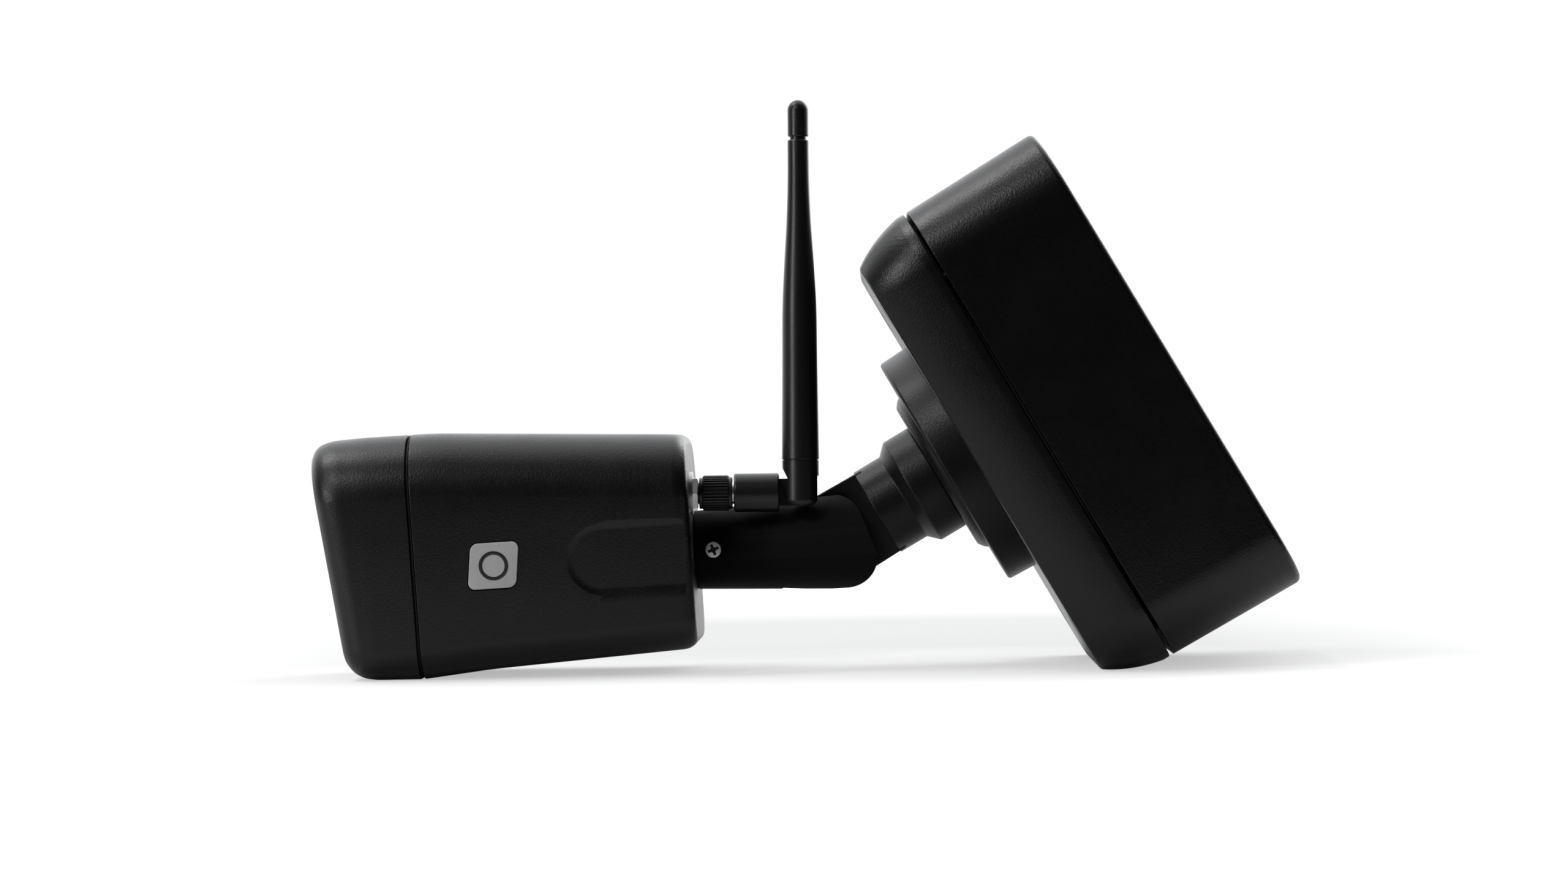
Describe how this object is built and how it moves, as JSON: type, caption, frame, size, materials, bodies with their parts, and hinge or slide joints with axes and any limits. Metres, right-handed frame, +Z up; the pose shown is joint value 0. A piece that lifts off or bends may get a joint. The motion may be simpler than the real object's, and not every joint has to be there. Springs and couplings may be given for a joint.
{
  "type": "security camera",
  "caption": "Black outdoor bullet security camera with a hinged antenna, on a tilting, turning bracket that carries it from a deep rounded battery base box.",
  "frame": {"origin": "middle of the footprint's length and width, on the floor that the base box's lower edge and the hood's underside stand on", "axes": "+Z up; the camera looks along -X, its wall face looks towards +X and +Z, and Y runs across it"},
  "size_m": [0.2632, 0.11, 0.1536],
  "materials": {
    "box_plastic": "near-black satin moulding with a fine pebble grain",
    "black_plastic": "near-black moulding with a fine pebble grain",
    "antenna_plastic": "near-black smooth satin moulding",
    "rubber": "soft black rubber",
    "board": "green solder mask",
    "cell": "battery cell in a blue sleeve",
    "steel": "plain steel",
    "bright_nickel": "bright nickel plate",
    "brass": "turned brass",
    "face_black": "smooth black",
    "window": "smoked clear window",
    "lens": "coated lens",
    "led": "clear resin",
    "sensor_white": "milky dome",
    "badge_grey": "light grey inlay"
  },
  "bodies": {
    "base_box": {"rear_shell": "box_plastic", "lid_shell": "box_plastic", "lid_seal": "rubber", "port_plug": "rubber", "battery_tray": "black_plastic", "power_board": "board", "battery_cell_1": "cell", "battery_cell_2": "cell", "battery_cell_3": "cell", "battery_cell_4": "cell", "lid_screw_1": "steel", "lid_screw_2": "steel", "lid_screw_3": "steel", "lid_screw_4": "steel", "flange_disc": "black_plastic", "pan_collar": "black_plastic", "pan_washer": "steel", "flange_screw_1": "steel", "flange_screw_2": "steel", "flange_screw_3": "steel", "flange_screw_4": "steel"},
    "swivel": {"swivel_knuckle": "black_plastic", "pan_nut": "steel"},
    "arm": {"arm_tube": "black_plastic", "tilt_bolt": "steel", "tilt_insert": "brass", "lock_screw": "bright_nickel"},
    "head": {"head_housing": "black_plastic", "front_hood": "black_plastic", "front_seal": "rubber", "face_plate": "face_black", "front_window": "window", "lens_barrel": "face_black", "lens_glass": "lens", "sensor_board": "board", "main_board": "board", "ir_board": "board", "ir_led_1": "led", "ir_led_2": "led", "ir_led_3": "led", "ir_led_4": "led", "ir_led_5": "led", "ir_led_6": "led", "pir_dome": "sensor_white", "roll_spigot": "steel", "card_door": "rubber", "door_screw_1": "steel", "door_screw_2": "steel", "side_badge": "badge_grey", "sma_jack": "brass", "sma_nut": "bright_nickel"},
    "antenna_nut": {"antenna_collar": "antenna_plastic"},
    "antenna_base": {"antenna_ferrule": "steel", "antenna_sleeve": "antenna_plastic"},
    "antenna_whip": {"antenna_blade": "antenna_plastic", "antenna_tip": "antenna_plastic", "hinge_pin": "steel"}
  },
  "joints": [
    {"name": "pan", "type": "hinge", "parent": "base_box", "child": "swivel", "pos_m": [0.00679, 0, 0.03435], "axis": [0.866, 0, 0.5], "range_deg": [-180, 180]},
    {"name": "tilt", "type": "hinge", "parent": "swivel", "child": "arm", "pos_m": [0.00679, 0, 0.03435], "axis": [0, 1, 0], "range_deg": [-115, 6]},
    {"name": "head_roll", "type": "hinge", "parent": "arm", "child": "head", "pos_m": [0.00679, 0, 0.03435], "axis": [0.999, 0, 0.0454], "range_deg": [-90, 90]},
    {"name": "antenna_nut_spin", "type": "hinge", "parent": "head", "child": "antenna_nut", "pos_m": [-0.03088, -0.0125, 0.04826], "axis": [1, 0, -0.007], "continuous": true},
    {"name": "antenna_swivel", "type": "hinge", "parent": "head", "child": "antenna_base", "pos_m": [-0.03088, -0.0125, 0.04826], "axis": [1, 0, -0.007], "range_deg": [-45, 140]},
    {"name": "antenna_fold", "type": "hinge", "parent": "antenna_base", "child": "antenna_whip", "pos_m": [-0.00048, -0.0125, 0.04804], "axis": [0, 1, 0], "range_deg": [0, 8]}
  ]
}
